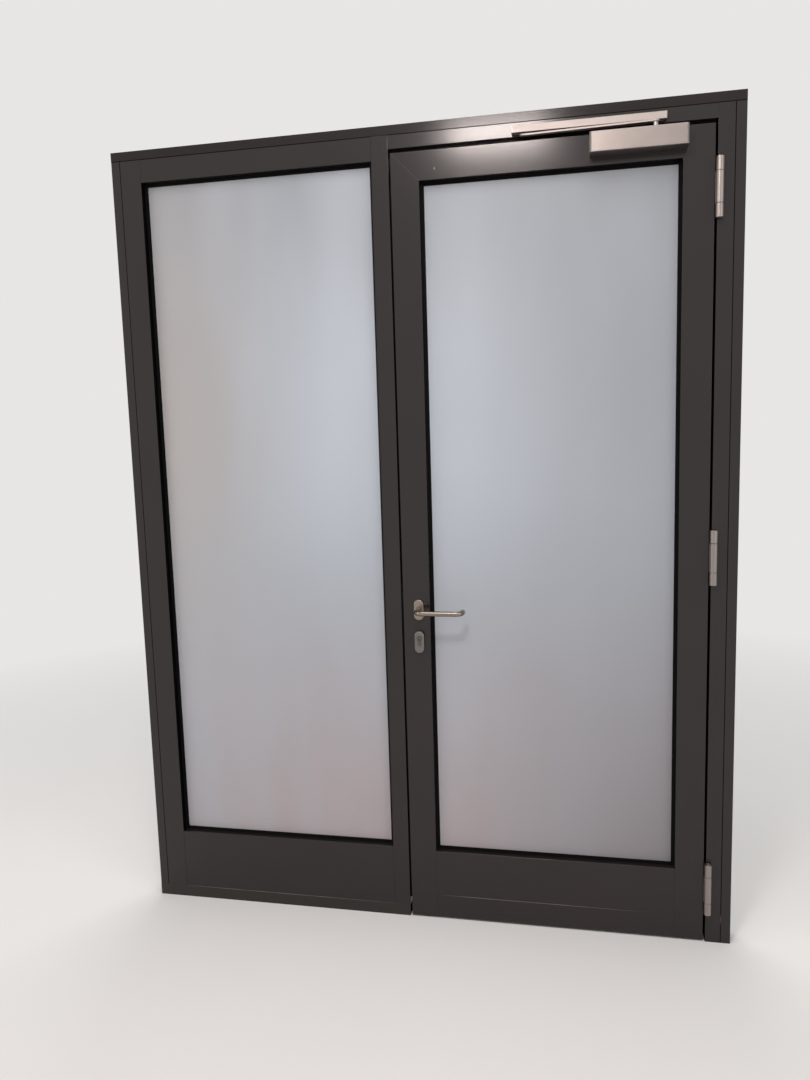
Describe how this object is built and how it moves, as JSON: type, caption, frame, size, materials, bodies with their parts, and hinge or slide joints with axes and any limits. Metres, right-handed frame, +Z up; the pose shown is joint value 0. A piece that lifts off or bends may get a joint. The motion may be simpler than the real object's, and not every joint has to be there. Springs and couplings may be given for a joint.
{
  "type": "glass entrance door with side light",
  "caption": "Aluminium entrance door set with frosted glazing: a hinged leaf with lever handles, lock, hinges and a slide-rail closer beside a fixed side light, in one frame.",
  "frame": {"origin": "on the floor line, at mid width and mid depth of the frame", "axes": "+X to the hinge side as seen from the pull side, +Y away from the pull side through the glass, +Z up"},
  "size_m": [1.907, 0.202, 2.5],
  "materials": {
    "frame_metal": "warm anthracite powder coat, satin",
    "silver_metal": "natural anodised, satin",
    "handle_steel": "fine brushed",
    "inner_steel": "zinc plated",
    "cylinder_metal": "matt nickel on brass",
    "cleat_metal": "mill finish",
    "clear_glass": "polished",
    "frosted_glass": "frosted, milky",
    "gasket_rubber": "matt black",
    "spacer_metal": "dull grey",
    "grey_plastic": "moulded, matt",
    "black_plastic": "moulded, matt",
    "brush_fibre": "dense black pile"
  },
  "bodies": {
    "frame": {"base_profile": "frame_metal", "extension_head": "frame_metal", "extension_left": "frame_metal", "extension_right": "frame_metal", "head_door": "frame_metal", "head_side_light": "frame_metal", "hinge_frame_wings": "silver_metal", "hinge_pins": "inner_steel", "hinge_washers": "grey_plastic", "jamb_left": "frame_metal", "jamb_right": "frame_metal", "mullion": "frame_metal", "rail_end_caps": "grey_plastic", "rebate_seal": "gasket_rubber", "side_light_beads_level": "frame_metal", "side_light_beads_upright": "frame_metal", "side_light_gasket_back": "gasket_rubber", "side_light_gasket_front": "gasket_rubber", "side_light_pane_back": "clear_glass", "side_light_pane_front": "frosted_glass", "side_light_setting_blocks": "black_plastic", "side_light_sill": "frame_metal", "side_light_spacer": "spacer_metal", "slide_rail": "silver_metal", "strike_plate": "handle_steel"},
    "leaf": {"closer_body": "silver_metal", "closer_end_caps": "silver_metal", "corner_cleats": "cleat_metal", "cylinder_body": "cylinder_metal", "cylinder_roses": "handle_steel", "hinge_leaf_wings": "silver_metal", "leaf_beads_level": "frame_metal", "leaf_beads_upright": "frame_metal", "leaf_gasket_back": "gasket_rubber", "leaf_gasket_front": "gasket_rubber", "leaf_kick_profile": "frame_metal", "leaf_pane_back": "clear_glass", "leaf_pane_front": "frosted_glass", "leaf_rail_bottom": "frame_metal", "leaf_rail_top": "frame_metal", "leaf_setting_blocks": "black_plastic", "leaf_spacer": "spacer_metal", "leaf_stile_hinge": "frame_metal", "leaf_stile_lock": "frame_metal", "leaf_sweep_seal": "brush_fibre", "lever_roses": "handle_steel", "lock_case": "inner_steel", "lock_faceplate": "handle_steel", "lock_screws": "inner_steel"},
    "rail_carriage": {"rail_slider": "black_plastic"},
    "closer_link": {"closer_arm": "silver_metal", "closer_shaft": "inner_steel"},
    "levers": {"lever_back": "handle_steel", "lever_front": "handle_steel", "lever_spindle": "inner_steel", "lock_follower": "inner_steel"},
    "latch": {"latch_bolt": "inner_steel"},
    "deadbolt": {"dead_bolt": "inner_steel"},
    "cylinder_key": {"cylinder_cam": "inner_steel", "cylinder_plugs": "cylinder_metal"}
  },
  "joints": [
    {"name": "leaf_swing", "type": "hinge", "parent": "frame", "child": "leaf", "pos_m": [0.8835, -0.048, 0], "axis": [0, 0, 1], "range_deg": [0, 90], "stiffness_Nm_per_rad": 8, "springref_deg": -85.94},
    {"name": "closer_arm_turn", "type": "hinge", "parent": "leaf", "child": "closer_link", "pos_m": [0.7105, -0.061, 2.429], "axis": [0, 0, 1], "range_deg": [-116.7, 0]},
    {"name": "rail_slide", "type": "slide", "parent": "frame", "child": "rail_carriage", "axis": [1, 0, 0], "range_m": [0, 0.231]},
    {"name": "lever_turn", "type": "hinge", "parent": "leaf", "child": "levers", "pos_m": [0.002, 0, 1.04], "axis": [0, 1, 0], "range_deg": [0, 45], "stiffness_Nm_per_rad": 2, "springref_deg": -28.65},
    {"name": "latch_slide", "type": "slide", "parent": "leaf", "child": "latch", "axis": [1, 0, 0], "range_m": [0, 0.012]},
    {"name": "key_turn", "type": "hinge", "parent": "leaf", "child": "cylinder_key", "pos_m": [0.002, 0, 0.948], "axis": [0, 1, 0], "range_deg": [0, 360]},
    {"name": "bolt_slide", "type": "slide", "parent": "leaf", "child": "deadbolt", "axis": [-1, 0, 0], "range_m": [0, 0.02]}
  ],
  "couplings": [
    {"joint": "closer_arm_turn", "follows": "leaf_swing", "ratio": -1.2909},
    {"joint": "rail_slide", "follows": "leaf_swing", "m_per_rad": 0.14639},
    {"joint": "latch_slide", "follows": "lever_turn", "m_per_rad": 0.015278},
    {"joint": "bolt_slide", "follows": "key_turn", "m_per_rad": 0.003183}
  ]
}
